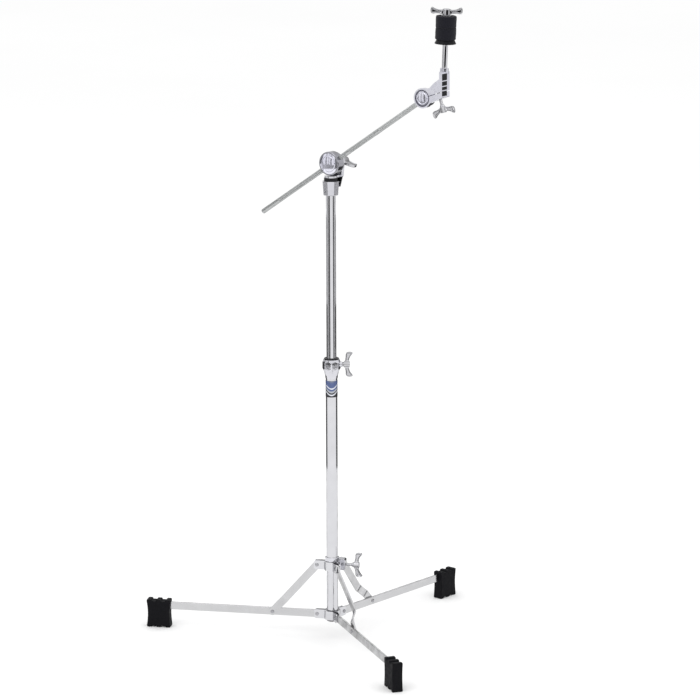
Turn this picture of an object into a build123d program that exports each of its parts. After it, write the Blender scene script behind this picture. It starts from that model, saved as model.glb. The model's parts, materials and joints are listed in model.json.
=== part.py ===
from build123d import *
import os
from math import atan2, cos, degrees, hypot, radians, sin

# Cymbal boom stand with a folding flat tripod base. Millimetres, +Z up.
# The origin is on the floor, on the axis of the column. -Y is the front.

# ---------------------------------------------------------------- driving sizes
RUNNING = 0.05          # radial clearance of a pin or screw that turns in its hole
AIR = 0.3               # gap between parts that move past each other

LOWER_TUBE_R = 11.1     # 7/8 inch tube
LOWER_TUBE_WALL = 1.2
LOWER_TUBE_BOTTOM = 33.0
LOWER_TUBE_TOP = 530.0
UPPER_TUBE_R = 9.525    # 3/4 inch tube
UPPER_TUBE_WALL = 1.2
UPPER_TUBE_BOTTOM = 385.0
UPPER_TUBE_TOP = 882.0

LEG_AZIMUTHS = {1: 168.9, 2: 48.9, 3: -71.1}
PIVOT_R = 29.5          # legs and braces both turn at this radius
LEG_PIVOT_Z = 43.2
SLIDER_PIVOT_Z = 142.0
BRACE_RIVET_R = 118.0   # where a brace is riveted to its leg
BAR_HEIGHT = 15.0
LEG_THICKNESS = 4.4
BRACE_THICKNESS = 3.0
LEG_END_R = 356.0

EAR_THICKNESS = 2.0
EAR_HEIGHT = 17.5
EAR_END_R = 35.2
HUB_CORE_R = 14.3
SHEET = 1.6
RIVET_R = 2.4
RIVET_HEAD_R = 3.6
RIVET_HEAD_HEIGHT = 1.5

FOOT_INNER_R = 322.0
FOOT_OUTER_R = 369.0
FOOT_HEIGHT = 55.5
FOOT_WIDTH = 20.0
FOOT_RIDGE = 3.0        # height of each cross ridge on the sole and the top

SCREW_R = 3.0
WING_SPAN = 47.0

COLLAR_BOTTOM = 512.8
COLLAR_TOP = 550.0
COLLAR_R = 17.4         # of the turned body, before its facets are cut
BUSHING_R = 13.0
HEIGHT_SCREW_Z = 539.5

BADGE_BOTTOM = 477.0
BADGE_TOP = 509.0
BADGE_THICKNESS = 0.4

SOCKET_BOTTOM = 866.6
SOCKET_TOP = 893.8
SOCKET_TOP_WIDTH = 31.0     # across flats
SOCKET_BOTTOM_WIDTH = 27.3
SWIVEL_STEM_R = 6.0
WASHER_R = 12.8
WASHER_TOP = 900.0
YOKE_PLATE_TOP = 903.6

BOOM_HEADING = 35.9     # degrees from +X towards -Y
TILT_Z = 926.8          # height of the boom's tilt axis
ARM_R = 4.75
ARM_W = -6.5            # the arm lies this far behind the column's axis
ARM_ELEVATION = 33.5
ARM_REAR = -198.0
DRUM_S = 255.3          # distance along the arm from tilt axis to tilter drum

DISC_R = 22.6
DRUM_R = 15.7
RING_R = 18.6
ROD_R = 5.0
ROD_THREAD_R = 4.0
ROD_LEAN = 2.4
ROD_P = 34.5            # rod's place along the boom's heading, from the drum axis
ROD_W = -9.9
SCREW_W = -5.0          # the clamp screw's place behind the column's axis
POST_END = 43.2         # the post's outer face
SEAT_T = 101.5          # the rod's fittings, measured up the rod from drum height
FELT_T = 109.3
FELT_R = 19.2
FELT_HEIGHT = 21.5
SLIT_ANGLE = 19.0


# ---------------------------------------------------------------- helpers
def write(name, *solids):
    """One node: one solid, or several separate solids of the same kind."""
    shape = solids[0] if len(solids) == 1 else Compound(children=list(solids))
    export_step(shape, f"parts/{name}.step")


def tube(outer, inner, low, high):
    return disc(outer, low, high) - disc(inner, low - 1, high + 1)


def disc(radius, low, high):
    return Pos(0, 0, (low + high) / 2) * Cylinder(radius, high - low)


def across(radius, y_low, y_high, x=0.0, z=0.0):
    """A cylinder that lies along Y."""
    middle = (y_low + y_high) / 2
    return Pos(x, middle, z) * Rot(90, 0, 0) * Cylinder(radius, y_high - y_low)


def block(x, y, z):
    """A box from three (low, high) pairs."""
    size = [high - low for low, high in (x, y, z)]
    return Pos(*[(low + high) / 2 for low, high in (x, y, z)]) * Box(*size)


def slab(sketch, thickness, y=0.0):
    """An XZ outline made thickness thick, with its middle at y."""
    return Pos(0, y, 0) * extrude(Plane.XZ * sketch, thickness / 2, both=True)


def outline(points, radius=0.0):
    """A closed face from points, with its corners rounded."""
    face = make_face(Polyline(*points, close=True))
    return fillet(face.vertices(), radius) if radius else face


def plate(sketch, low, high):
    """An XY outline extruded from low to high."""
    return Pos(0, 0, low) * extrude(sketch, high - low)


def octagon(width):
    """A regular octagon measured across its flats, with a flat towards -Y."""
    return Rot(0, 0, 22.5) * RegularPolygon(width / 2, 8, major_radius=False)


def rivet(y_low, y_high, heads):
    """A rivet along Y. heads holds -1 and 1 for the ends that have a head."""
    body = across(RIVET_R, y_low, y_high)
    for side in heads:
        face = y_high if side > 0 else y_low
        outer = face + side * RIVET_HEAD_HEIGHT
        head = across(RIVET_HEAD_R, min(face, outer), max(face, outer))
        rim = head.edges().group_by(Axis.Y)[-1 if side > 0 else 0]
        body += fillet(rim, RIVET_HEAD_HEIGHT * 0.8)
    return body


def wing(span=WING_SPAN, height=12.5, flare=5.0, hub_r=5.2, hub_length=12.0, thickness=6.4):
    """A wing nut's body: hub along +Z from z = 0, paddles towards +X and -X."""
    tip = span / 2
    root = hub_r - 1.5
    paddle = outline(
        [
            (root, 1.0),
            (tip * 0.55, flare * 0.35),
            (tip - 2.0, flare),
            (tip, flare + height * 0.45),
            (tip - 0.6, flare + height),
            (tip * 0.5, height + flare * 0.2),
            (root, hub_length - 1.0),
        ],
        1.4,
    )
    dish = offset(paddle, amount=-1.7) - Pos(root, height / 2) * Rectangle(7.0, 3 * height)
    solid = slab(paddle, thickness)
    for side in (-1, 1):
        solid -= slab(dish, 3.4, side * thickness / 2)
    hub = disc(hub_r, 0, hub_length)
    hub = chamfer(hub.edges().group_by(Axis.Z)[-1], 1.2)
    return hub + solid + Rot(0, 0, 180) * solid


def wing_screw(shaft_length):
    """A wing body on a plain shaft that runs from z = -shaft_length to the hub."""
    shaft = disc(SCREW_R, -shaft_length, 1.0)
    shoulder = disc(SCREW_R + 1.2, -2.5, 0.5)
    return wing() + shaft + shoulder


def radial(azimuth, z, radius, wings_along=(0, 0, 1)):
    """A place with its +Z pointing outwards from the column."""
    out = (cos(radians(azimuth)), sin(radians(azimuth)), 0)
    origin = (radius * out[0], radius * out[1], z)
    return Plane(origin=origin, z_dir=out, x_dir=wings_along).location


# ---------------------------------------------------------------- column
def lower_tube():
    inner = LOWER_TUBE_R - LOWER_TUBE_WALL
    return tube(LOWER_TUBE_R, inner, LOWER_TUBE_BOTTOM, LOWER_TUBE_TOP)


def tube_plug():
    """A plastic plug that closes the bottom of the column."""
    stem = disc(LOWER_TUBE_R - LOWER_TUBE_WALL - RUNNING, LOWER_TUBE_BOTTOM, LOWER_TUBE_BOTTOM + 14)
    cap = disc(LOWER_TUBE_R, LOWER_TUBE_BOTTOM - 2.5, LOWER_TUBE_BOTTOM)
    return stem + fillet(cap.edges().group_by(Axis.Z)[0], 1.0)


def badge():
    """A thin curved plate on the front half of the column."""
    shell = tube(LOWER_TUBE_R + BADGE_THICKNESS, LOWER_TUBE_R + 0.02, BADGE_BOTTOM, BADGE_TOP)
    front = block((-20, 20), (-20, 1.0), (BADGE_BOTTOM, BADGE_TOP))
    return shell & front


def height_collar():
    """The clamp casting at the top of the lower tube: faceted above, a cup below."""
    cup = outline(
        [
            (0, COLLAR_BOTTOM),
            (LOWER_TUBE_R + 0.6, COLLAR_BOTTOM),
            (LOWER_TUBE_R + 1.3, COLLAR_BOTTOM + 6),
            (LOWER_TUBE_R + 2.8, COLLAR_BOTTOM + 12),
            (COLLAR_R, COLLAR_BOTTOM + 20),
            (COLLAR_R, COLLAR_TOP - 6),
            (COLLAR_R - 1.8, COLLAR_TOP),
            (0, COLLAR_TOP),
        ]
    )
    body = revolve(Plane.XZ * cup, Axis.Z)
    facets = Rot(0, 0, 22.5) * octagon(2 * FACET_DEPTH)
    body &= plate(facets, COLLAR_BOTTOM - 1, COLLAR_TOP + 1)
    boss = radial(0, HEIGHT_SCREW_Z, 12) * disc(5.4, 0, 8.5)
    body += fillet(boss.edges().group_by(Axis.X)[-1], 1.0)
    body -= disc(LOWER_TUBE_R + 0.03, COLLAR_BOTTOM - 1, LOWER_TUBE_TOP)
    body -= disc(BUSHING_R + 0.03, LOWER_TUBE_TOP, COLLAR_TOP + 1)
    slot = block((-5.6, 5.6), (-COLLAR_R, 1.4 - FACET_DEPTH), (COLLAR_SLOT_Z - 0.9, COLLAR_SLOT_Z + 0.9))
    for turn in (-22.5, 22.5):
        body -= Rot(0, 0, turn) * slot
    body -= block((-0.35, 0.35), (-COLLAR_R - 1, 0.8 - FACET_DEPTH), (COLLAR_TOP - 20, COLLAR_TOP + 1))
    screw_hole = radial(0, HEIGHT_SCREW_Z, BUSHING_R - 1) * disc(SCREW_R + RUNNING, 0, 12)
    return body - screw_hole


def height_bushing():
    """The nylon sleeve that guides the upper tube and takes the clamp screw."""
    sleeve = tube(BUSHING_R, UPPER_TUBE_R + RUNNING, LOWER_TUBE_TOP + 0.05, COLLAR_TOP)
    rim = tube(BUSHING_R + 1.0, UPPER_TUBE_R + RUNNING, COLLAR_TOP, COLLAR_TOP + 2.0)
    slot = block((-0.6, 0.6), (8, 15), (LOWER_TUBE_TOP + 4, COLLAR_TOP + 3))
    return sleeve + rim - slot


def upper_tube():
    inner = UPPER_TUBE_R - UPPER_TUBE_WALL
    return tube(UPPER_TUBE_R, inner, UPPER_TUBE_BOTTOM, UPPER_TUBE_TOP)


def guide_plug():
    """A nylon plug at the hidden end of the upper tube, running in the lower tube."""
    guide_r = LOWER_TUBE_R - LOWER_TUBE_WALL - 0.07
    ring = disc(guide_r, UPPER_TUBE_BOTTOM - 12, UPPER_TUBE_BOTTOM)
    stem = disc(UPPER_TUBE_R - UPPER_TUBE_WALL - RUNNING, UPPER_TUBE_BOTTOM, UPPER_TUBE_BOTTOM + 12)
    return chamfer(ring.edges().group_by(Axis.Z)[0], 1.0) + stem


# ---------------------------------------------------------------- tripod hubs
def bracket_wedge():
    """The sector that one bracket fills, between two legs at -60 and +60 degrees."""
    inner = LEG_THICKNESS / 2 + AIR
    near = (inner / sin(radians(60)), 0)
    reach = 60.0
    far = [(near[0] + reach * cos(radians(a)), reach * sin(radians(a))) for a in (-60, 60)]
    return outline([near, far[0], (2 * reach, 0), far[1]])


def bracket(pivot_z, core_r):
    """One stamped bracket: a 120 degree band whose ends turn out as leg ears."""
    low, high = pivot_z - EAR_HEIGHT / 2, pivot_z + EAR_HEIGHT / 2
    band = tube(core_r + SHEET, core_r + 0.03, low, high) & plate(bracket_wedge(), low, high)
    middle = LEG_THICKNESS / 2 + AIR + EAR_THICKNESS / 2
    length = EAR_END_R - core_r - 0.6
    for side in (-1, 1):
        centre = EAR_END_R - length / 2
        ear = Pos(centre, pivot_z) * Rectangle(length, EAR_HEIGHT)
        outer = ear.vertices().group_by(Axis.X)[-1]
        ear = fillet(outer, 4.0) - Pos(PIVOT_R, pivot_z) * Circle(RIVET_R + RUNNING)
        band += Rot(0, 0, 60 * side) * slab(ear, EAR_THICKNESS, -side * middle)
    return band


def hub_core():
    """The ring that spaces the fixed brackets off the tube."""
    half = EAR_HEIGHT / 2 - 0.6
    return tube(HUB_CORE_R, LOWER_TUBE_R + 0.03, LEG_PIVOT_Z - half, LEG_PIVOT_Z + half)


def pivot_rivets(pivot_z):
    """The three rivets that cross a hub's ears."""
    reach = LEG_THICKNESS / 2 + AIR + EAR_THICKNESS
    pin = Pos(PIVOT_R, 0, pivot_z) * rivet(-reach, reach, (-1, 1))
    return [Rot(0, 0, azimuth) * pin for azimuth in LEG_AZIMUTHS.values()]


def slider_casting():
    """The sliding sleeve with its octagonal rim and the boss of the lock screw."""
    low, high = SLIDER_PIVOT_Z - EAR_HEIGHT / 2, SLIDER_PIVOT_Z + EAR_HEIGHT / 2
    rim_top = high + 8.0
    body = disc(HUB_CORE_R, low, high + 0.5) + plate(octagon(26.4), high, rim_top)
    body = chamfer(body.edges().group_by(Axis.Z)[-1], 1.2)
    boss = block((HUB_CORE_R + SHEET + 0.1, 27.0), (-7.5, 7.5), (low + 1.5, high + 5.5))
    boss = fillet(boss.edges().filter_by(Axis.Y).group_by(Axis.X)[-1], 4.0)
    bridge = block((9.0, 22.0), (-6.5, 6.5), (high + 0.05, high + 5.0))
    body += Rot(0, 0, SCREW_AZIMUTH) * (boss + bridge)
    body -= disc(LOWER_TUBE_R + 0.1, low - 1, rim_top + 1)
    hole = radial(SCREW_AZIMUTH, SLIDER_SCREW_Z, 11) * disc(SCREW_R + RUNNING, 0, 20)
    return body - hole


# ---------------------------------------------------------------- legs
def leg():
    """A flat bar on edge, from its pivot to inside the rubber foot, along +X."""
    bar = Pos((PIVOT_R + LEG_END_R) / 2, LEG_PIVOT_Z) * Rectangle(LEG_END_R - PIVOT_R, BAR_HEIGHT)
    bar += Pos(PIVOT_R, LEG_PIVOT_Z) * Circle(BAR_HEIGHT / 2)
    for x in (PIVOT_R, BRACE_RIVET_R):
        bar -= Pos(x, LEG_PIVOT_Z) * Circle(RIVET_R + RUNNING)
    return slab(bar, LEG_THICKNESS)


def foot():
    """A rubber block with three cross ridges above and below, along +X."""
    low, high = FOOT_RIDGE, FOOT_HEIGHT - FOOT_RIDGE
    middle = (low + high) / 2
    inner, outer = FOOT_INNER_R, FOOT_OUTER_R
    side = make_face(
        [
            Line((inner + 1, low), (outer - 1, low)),
            ThreePointArc((outer - 1, low), (outer - 3.2, middle), (outer - 1, high)),
            Line((outer - 1, high), (inner + 1, high)),
            ThreePointArc((inner + 1, high), (inner - 0.8, middle), (inner + 1, low)),
        ]
    )
    ridge_length = 9.5
    pitch = (outer - inner - ridge_length) / 2
    for index in range(3):
        x = inner + ridge_length / 2 + index * pitch
        for z in (FOOT_RIDGE, FOOT_HEIGHT - FOOT_RIDGE):
            ridge = Pos(x, z) * Rectangle(ridge_length, 2 * FOOT_RIDGE)
            side += fillet(ridge.vertices(), 2.0)
    body = slab(side, FOOT_WIDTH)
    panel = Pos((inner + outer) / 2 - 1, middle - 1) * RectangleRounded(30, 26, 4)
    for face in (-1, 1):
        body -= slab(panel, 1.4, face * FOOT_WIDTH / 2)
    leg_hole = block(
        (inner - 2, LEG_END_R + 0.1),
        (-LEG_THICKNESS / 2 - 0.05, LEG_THICKNESS / 2 + 0.05),
        (LEG_PIVOT_Z - BAR_HEIGHT / 2 - 0.05, LEG_PIVOT_Z + BAR_HEIGHT / 2 + 0.05),
    )
    return body - leg_hole


def brace():
    """A flat bar that bows out sideways, then joggles in to lie beside the leg."""
    run, rise = BRACE_RIVET_R - PIVOT_R, SLIDER_PIVOT_Z - LEG_PIVOT_Z
    length = hypot(run, rise)
    half = BRACE_THICKNESS / 2
    end = BAR_HEIGHT / 2
    middle = [
        (-end, BRACE_OFFSET),
        (BRACE_JOGGLE_START, BRACE_OFFSET),
        (BRACE_JOGGLE_END, BRACE_BOW),
        (length - BRACE_EAR_LENGTH, 0),
        (length + end, 0),
    ]
    under = [(x, y - half) for x, y in middle]
    over = [(x, y + half) for x, y in reversed(middle)]
    edge = outline(under + over)
    bar = extrude(edge, BAR_HEIGHT / 2, both=True)
    bar &= slab(Pos(length / 2, 0) * SlotCenterToCenter(length, BAR_HEIGHT), 40)
    bar -= across(RIVET_R + RUNNING, -20, 20) + across(RIVET_R + RUNNING, -20, 20, x=length)
    tilt = degrees(atan2(rise, run)) - 180
    return Pos(BRACE_RIVET_R, 0, LEG_PIVOT_Z) * Rot(0, tilt, 0) * bar


def leg_rivet():
    """The leg's half of the brace rivet: a head on the far side and a flush shank."""
    half = LEG_THICKNESS / 2
    return Pos(BRACE_RIVET_R, 0, LEG_PIVOT_Z) * rivet(-half, half, (-1,))


def brace_rivet():
    """The brace's half of the same rivet."""
    half = BRACE_THICKNESS / 2
    return Pos(BRACE_RIVET_R, 0, LEG_PIVOT_Z) * rivet(BRACE_OFFSET - half, BRACE_OFFSET + half, (1,))


# ---------------------------------------------------------------- boom head
# HEAD has +X along the boom's heading, +Y up and +Z towards the domed disc.
heading = radians(BOOM_HEADING)
elevation = radians(ARM_ELEVATION)
HEAD = Plane(
    origin=(0, 0, TILT_Z),
    x_dir=(cos(heading), -sin(heading), 0),
    z_dir=(-sin(heading), -cos(heading), 0),
)
ARM = HEAD.location * Location((0, 0, ARM_W), (0, 0, ARM_ELEVATION))
TILTER = HEAD.location * Pos(DRUM_S * cos(elevation), DRUM_S * sin(elevation), 0)
ROD = TILTER * Location((ROD_P, 0, ROD_W), (-90, 0, 0)) * Rot(0, ROD_LEAN, 0)

PLATE_LOW, PLATE_HIGH = WASHER_TOP + 0.1 - TILT_Z, YOKE_PLATE_TOP - TILT_Z
FRONT_LOW, FRONT_HIGH = -8.6, 7.0
DOME_TOP = 9.8
REAR_LOW, REAR_HIGH = -16.0, -8.9
YOKE_LOW, YOKE_HIGH = -24.5, -16.3
RING_LOW, RING_HIGH = -1.3, 8.0
CASTING_LOW = -18.0


def boom_socket():
    """The faceted casting on top of the upper tube."""
    bottom = Pos(0, 0, SOCKET_BOTTOM) * octagon(SOCKET_BOTTOM_WIDTH)
    top = Pos(0, 0, SOCKET_TOP) * octagon(SOCKET_TOP_WIDTH)
    body = loft([bottom, top])
    body = chamfer(body.edges().group_by(Axis.Z)[0], 0.8)
    body -= disc(UPPER_TUBE_R + 0.02, SOCKET_BOTTOM - 1, UPPER_TUBE_TOP + 0.05)
    body -= disc(SWIVEL_STEM_R + RUNNING, UPPER_TUBE_TOP - 1, SOCKET_TOP + 1)
    return body - radial(SET_SCREW_AZIMUTH, SET_SCREW_Z, UPPER_TUBE_R) * disc(2.0, 0, 8)


def set_screw():
    """The grub screw that fixes the socket to the tube."""
    reach = UPPER_TUBE_R + 0.05
    screw = radial(SET_SCREW_AZIMUTH, SET_SCREW_Z, reach) * disc(1.95, 0, 4.9)
    drive = radial(SET_SCREW_AZIMUTH, SET_SCREW_Z, reach + 3.2) * plate(RegularPolygon(1.1, 6), 0, 3)
    return screw - drive


def swivel_washer():
    ring = tube(WASHER_R, SWIVEL_STEM_R + 0.1, SOCKET_TOP + 0.1, WASHER_TOP)
    return fillet(ring.edges().group_by(Axis.Z)[-1].sort_by(SortBy.LENGTH)[-1], 1.0)


def yoke():
    """The swivelling casting: stem, base plate, upright with the tilt bearing, tail."""
    base = disc(12.0, WASHER_TOP + 0.1, YOKE_PLATE_TOP)
    stem = disc(SWIVEL_STEM_R, UPPER_TUBE_TOP - 6, WASHER_TOP + 0.5)
    arch = outline([(-7, -47), (7, -47), (12.8, -26), (13.6, -14), (-13.6, -14), (-12.8, -26)], 1.5)
    upright = outline(
        [(-12.4, PLATE_LOW), (12.4, PLATE_LOW), (15, 0), (-15, 0)],
    ) + Circle(15)
    tail = plate(arch, YOKE_HIGH - 5.2, YOKE_HIGH - 1.9)
    bearing = plate(upright, YOKE_LOW, YOKE_HIGH)
    foot_plate = block((-10, 10), (PLATE_LOW, PLATE_HIGH), (YOKE_LOW, 0))
    head = bearing + tail + foot_plate - disc(4.0 + RUNNING, YOKE_LOW - 1, YOKE_HIGH + 1)
    return base + stem + HEAD.location * head


def arm_bore(radius, length=80):
    """A cylinder along the arm's axis, in the head's frame."""
    place = Location((0, 0, ARM_W), (0, 0, ARM_ELEVATION))
    return place * Rot(0, 90, 0) * Cylinder(radius, length)


def clamp_front():
    """The drum behind the domed disc. The arm runs in a groove across its back."""
    body = disc(DISC_R, FRONT_LOW, FRONT_HIGH)
    body = fillet(body.edges().group_by(Axis.Z)[-1], 1.8)
    body -= disc(EMBLEM_R + 0.03, FRONT_HIGH - 1.5, FRONT_HIGH + 1)
    body -= disc(EYE_R + RUNNING, FRONT_LOW - 1, EYE_TOP + 0.05)
    body -= arm_bore(ARM_R + 0.1)
    return HEAD.location * body


def clamp_emblem():
    """A plain domed cap with a raised ring."""
    rise = DOME_TOP - FRONT_HIGH
    ball_r = (EMBLEM_R**2 + rise**2) / (2 * rise)
    dome = Pos(0, 0, DOME_TOP - ball_r) * Sphere(ball_r) & disc(EMBLEM_R, FRONT_HIGH, DOME_TOP + 1)
    cap = disc(EMBLEM_R, FRONT_HIGH - 1.45, FRONT_HIGH + 0.05) + dome
    groove = tube(15.2, 14.2, FRONT_HIGH + 0.6, DOME_TOP + 1)
    return HEAD.location * (cap - groove)


def clamp_rear():
    """The toothed plate that the arm is pulled against."""
    body = disc(20.0, REAR_LOW, REAR_HIGH)
    for tooth in range(TEETH):
        notch = Pos(20.3, 0, REAR_LOW + 2) * Cylinder(0.9, 4.2)
        body -= Rot(0, 0, tooth * 360 / TEETH) * notch
    body -= disc(EYE_R + RUNNING, REAR_LOW - 1, REAR_HIGH + 1) + arm_bore(ARM_R + 0.1)
    return HEAD.location * body


def eye_bolt():
    """The bolt that the arm passes through; its nut pulls the clamp together."""
    body = disc(EYE_R, REAR_LOW + 0.5, EYE_TOP) + disc(4.0, YOKE_LOW - 28.0, REAR_LOW + 1)
    return HEAD.location * (body - arm_bore(ARM_R + RUNNING, 40))


def clamp_washer():
    return HEAD.location * tube(9.0, 4.1, YOKE_LOW - 1.8, YOKE_LOW - 0.1)


def boom_wing_nut():
    place = Location((0, 0, YOKE_LOW - 2.0), (180, 0, 0)) * Rot(0, 0, 18)
    body = wing(span=55, hub_r=7.0, hub_length=24.0, height=12.0, flare=11.0)
    return HEAD.location * place * (body - disc(4.0 + RUNNING, -1, 30))


def along_arm(radius, low, high):
    return ARM * Pos((low + high) / 2, 0, 0) * Rot(0, 90, 0) * Cylinder(radius, high - low)


def boom_arm():
    return along_arm(ARM_R, ARM_REAR + 1.5, DRUM_S - 6.0)


def arm_end_cap():
    """The smooth button on the rear end of the arm."""
    return along_arm(ARM_R, ARM_REAR, ARM_REAR + 1.45)


# ---------------------------------------------------------------- tilter
def tilter_drum():
    """The spool on the end of the arm: a boss behind and a hub that the ring grips."""
    boss = disc(16.2, ARM_W - 7.5, RING_LOW - AIR)
    boss = fillet(boss.edges().group_by(Axis.Z)[0], 1.5)
    hub = disc(DRUM_R, RING_LOW - AIR - 0.5, RING_HIGH - 1.0)
    hub = chamfer(hub.edges().group_by(Axis.Z)[-1], 0.5)
    neck_place = Location((0, 0, ARM_W), (0, 0, ARM_ELEVATION)) * Pos(-18.5, 0, 0)
    neck = neck_place * Rot(0, 90, 0) * Cylinder(6.4, 10) - disc(40, RING_LOW - AIR, 10)
    bore = Location((0, 0, ARM_W), (0, 0, ARM_ELEVATION)) * Pos(-26, 0, 0)
    hole = bore * Rot(0, 90, 0) * Cylinder(ARM_R + 0.02, 40.2)
    recess = disc(13.2, RING_HIGH - 1.9, RING_HIGH)
    return TILTER * (boss + hub + neck - hole - recess)


def drum_emblem():
    """A plain domed disc set in the front of the drum."""
    ball_r = 90.0
    disc_low, disc_top = RING_HIGH - 1.85, RING_HIGH + 0.2
    dome = Pos(0, 0, disc_top - ball_r) * Sphere(ball_r) & disc(13.1, disc_low, disc_top)
    return TILTER * (dome - tube(11.0, 10.2, disc_top - 0.9, disc_top + 1))


def slit_place(distance):
    """A place on the slit, this far from the drum axis, with +X along the slit."""
    return Location((0, 0, 0), (0, 0, SLIT_ANGLE)) * Pos(distance, 0, 0)


def tilter_clamp():
    """The split casting: a ring round the drum, two arms and the rod post."""
    ring = Circle(RING_R)
    end = POST_END
    arms = outline(
        [
            (-2, 17), (9, 17.6), (15, 19.5), (26, 30), (40, 40), (40, 50.5),
            (end, 50.5), (end, 4), (20, -6.5), (2, -17),
        ],
        1.5,
    )
    front = plate(ring + arms, RING_LOW, RING_HIGH)
    post = outline([(24, -4.9), (end, 4), (end, 50.5), (31, 50.5), (31, 33), (24, 26)], 1.2)
    body = front + plate(post, CASTING_LOW, RING_LOW)
    body -= disc(DRUM_R + RUNNING, RING_LOW - 1, RING_HIGH + 1)
    slit = Pos(29, 0, 0) * Box(34, 1.3, 60)
    body -= slit_place(0) * slit
    body = TILTER * body
    body += ROD * disc(7.9, 46, 56.5)
    body -= ROD * disc(ROD_R + 0.02, ROD_FOOT - 0.1, 60)
    for cell in inlay_cells(0.0):
        body -= cell
    hole = Rot(90, 0, 0) * Cylinder(SCREW_R + RUNNING, 56)
    return body - TILTER * slit_place(SCREW_D) * Pos(0, -16, SCREW_W) * hole


def inlay_cells(inset):
    """The four shallow pockets in the post's end face, or the inlays that fill them."""
    floor = POST_END - 0.9
    outer = POST_END - 0.4 if inset else POST_END + 1.0
    cells = []
    for low, high in ((6.6, 16.0), (17.8, 23.8), (25.6, 33.6), (35.4, 47.6)):
        cells.append(
            TILTER
            * block(
                (floor + inset, outer),
                (low + inset, high - inset),
                (CASTING_LOW + 8.6 + inset, RING_HIGH - 1.0 - inset),
            )
        )
    return cells


def tilter_wing_screw():
    place = slit_place(SCREW_D) * Pos(0, -SCREW_HUB, SCREW_W) * Rot(90, 0, 0)
    return TILTER * place * wing_screw(SCREW_HUB + 8.0)


def cymbal_rod():
    lower = disc(ROD_R, ROD_FOOT, SEAT_T)
    thread = disc(ROD_THREAD_R, SEAT_T - 1, 163.0)
    lower = chamfer(lower.edges().group_by(Axis.Z)[0], 0.6)
    return ROD * (lower + chamfer(thread.edges().group_by(Axis.Z)[-1], 0.8))


def cymbal_seat():
    """The black cone that the lower felt sits on."""
    flange_top = SEAT_T + 1.2
    cone = Pos(0, 0, (flange_top + FELT_T) / 2) * Cone(19.4, 16.2, FELT_T - flange_top)
    body = cone + disc(19.7, SEAT_T, flange_top)
    return ROD * (body - disc(ROD_THREAD_R + 0.03, SEAT_T - 1, FELT_T + 1))


def rod_sleeve():
    """The nylon sleeve that keeps a cymbal off the thread."""
    return ROD * tube(5.9, ROD_THREAD_R + 0.1, FELT_T + 0.25, FELT_T + 2 * FELT_HEIGHT - 1.5)


def felt(bottom):
    body = tube(FELT_R, 6.2, bottom, bottom + FELT_HEIGHT)
    outer = body.edges().filter_by(GeomType.CIRCLE).sort_by(SortBy.RADIUS)[-2:]
    return ROD * fillet(outer, 1.6)


def top_washer():
    return ROD * tube(9.5, ROD_THREAD_R + 0.1, NUT_T - 1.4, NUT_T - 0.2)


def top_wing_nut():
    body = wing(span=57, height=12.0, flare=2.2, hub_r=7.2, hub_length=11.0, thickness=7.5)
    return ROD * Pos(0, 0, NUT_T) * Rot(0, 0, TOP_NUT_TURN) * (body - disc(ROD_THREAD_R + RUNNING, -1, 30))


# ---------------------------------------------------------------- worked-out sizes
SCREW_AZIMUTH = -11.1           # half way between legs 2 and 3
SLIDER_SCREW_Z = SLIDER_PIVOT_Z + 2.5
SLIDER_SCREW_R = 41.5           # where the wing's hub starts
HEIGHT_SCREW_R = 23.0
COLLAR_SLOT_Z = HEIGHT_SCREW_Z + 4.0
BRACE_OFFSET = LEG_THICKNESS / 2 + AIR + BRACE_THICKNESS / 2
BRACE_BOW = 13.5                # how far the brace stands out sideways at its bow
BRACE_JOGGLE_START = 18.0       # both measured from the leg's rivet, along the brace
BRACE_JOGGLE_END = 42.0
BRACE_EAR_LENGTH = 9.0          # straight end between the slider's ears
SET_SCREW_AZIMUTH = -135.0
SET_SCREW_Z = 874.5
FACET_DEPTH = COLLAR_R - 0.8    # from the column's axis to the collar's facets
EMBLEM_R = 19.6
EYE_R = 7.6
EYE_TOP = 0.6
TEETH = 36
SCREW_D = 29.8                  # clamp screw's distance from the drum axis, along the slit
SCREW_HUB = 24.5                # slit to the start of the clamp screw's wings
ROD_FOOT = 22.0
NUT_T = FELT_T + 2 * FELT_HEIGHT + 1.8
TOP_NUT_TURN = 36.0


# ---------------------------------------------------------------- nodes
os.makedirs("parts", exist_ok=True)


def write_column():
    write("lower_tube", lower_tube())
    write("tube_plug", tube_plug())
    write("badge", badge())
    write("height_collar", height_collar())
    write("height_bushing", height_bushing())
    screw_length = HEIGHT_SCREW_R - BUSHING_R - 0.1
    write("height_wing_screw", radial(0, HEIGHT_SCREW_Z, HEIGHT_SCREW_R) * wing_screw(screw_length))
    write("upper_tube", upper_tube())
    write("guide_plug", guide_plug())


def write_base():
    write("hub_core", hub_core())
    write("leg_pivot_rivets", *pivot_rivets(LEG_PIVOT_Z))
    write("brace_pivot_rivets", *pivot_rivets(SLIDER_PIVOT_Z))
    write("slider_casting", slider_casting())
    screw_place = radial(SCREW_AZIMUTH, SLIDER_SCREW_Z, SLIDER_SCREW_R)
    write("base_wing_screw", screw_place * wing_screw(SLIDER_SCREW_R - LOWER_TUBE_R - 0.35))
    hole = radial(SCREW_AZIMUTH, SLIDER_SCREW_Z, 11) * disc(SCREW_R + AIR, 0, 20)
    for number, azimuth in LEG_AZIMUTHS.items():
        between = Rot(0, 0, azimuth + 60)
        write(f"hub_bracket_{number}", between * bracket(LEG_PIVOT_Z, HUB_CORE_R))
        write(f"slider_bracket_{number}", between * bracket(SLIDER_PIVOT_Z, HUB_CORE_R) - hole)
        turn = Rot(0, 0, azimuth)
        write(f"leg_{number}", turn * leg())
        write(f"foot_{number}", turn * foot())
        write(f"leg_rivet_{number}", turn * leg_rivet())
        write(f"brace_{number}", turn * brace())
        write(f"brace_rivet_{number}", turn * brace_rivet())


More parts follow.
